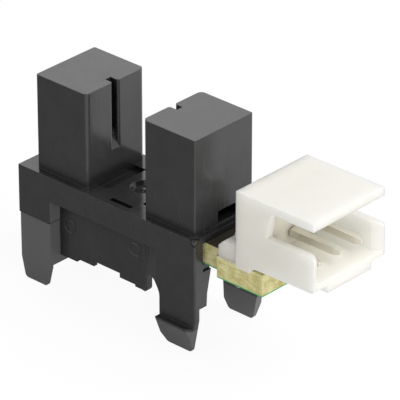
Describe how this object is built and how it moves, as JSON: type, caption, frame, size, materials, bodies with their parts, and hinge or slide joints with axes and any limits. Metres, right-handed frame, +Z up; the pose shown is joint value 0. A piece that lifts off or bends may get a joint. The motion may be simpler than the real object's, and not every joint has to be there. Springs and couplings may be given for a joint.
{
  "type": "photo interrupter",
  "caption": "Slotted optical sensor: a black snap-in case with twin towers either side of a light slot, on a narrow circuit board that ends in a white plug socket.",
  "frame": {"origin": "middle of the bounding box in plan, on the plane the four feet stand on", "axes": "+X along the light beam, from the free end to the plug socket's mouth; +Y along the slot; +Z up, out of the panel"},
  "size_m": [0.0258, 0.0074, 0.0152],
  "materials": {
    "case_plastic": "black moulded plastic with a smooth, almost mirror-like surface",
    "board_laminate": "fibre laminate, yellow-green at its cut edges, with a thin green coat on its faces",
    "emitter_resin": "dark, smooth moulding resin",
    "detector_resin": "black, smooth moulding resin",
    "tinned_wire": "flat tinned leads",
    "solder": "smooth solder cones",
    "socket_plastic": "off-white moulded plastic with a soft sheen",
    "contact_metal": "tinned square contacts",
    "chip_dark": "chip resistor, dark top",
    "chip_tan": "ceramic chip capacitor"
  },
  "bodies": {
    "root": {"case": "case_plastic", "circuit_board": "board_laminate", "emitter": "emitter_resin", "emitter_lead_1": "tinned_wire", "emitter_lead_2": "tinned_wire", "emitter_solder_1": "solder", "emitter_solder_2": "solder", "detector": "detector_resin", "detector_lead_1": "tinned_wire", "detector_lead_2": "tinned_wire", "detector_lead_3": "tinned_wire", "detector_solder_1": "solder", "detector_solder_2": "solder", "detector_solder_3": "solder", "socket_housing": "socket_plastic", "contact_1": "contact_metal", "contact_2": "contact_metal", "contact_3": "contact_metal", "contact_solder_1": "solder", "contact_solder_2": "solder", "contact_solder_3": "solder", "led_resistor": "chip_dark", "bypass_capacitor": "chip_tan"}
  },
  "joints": []
}
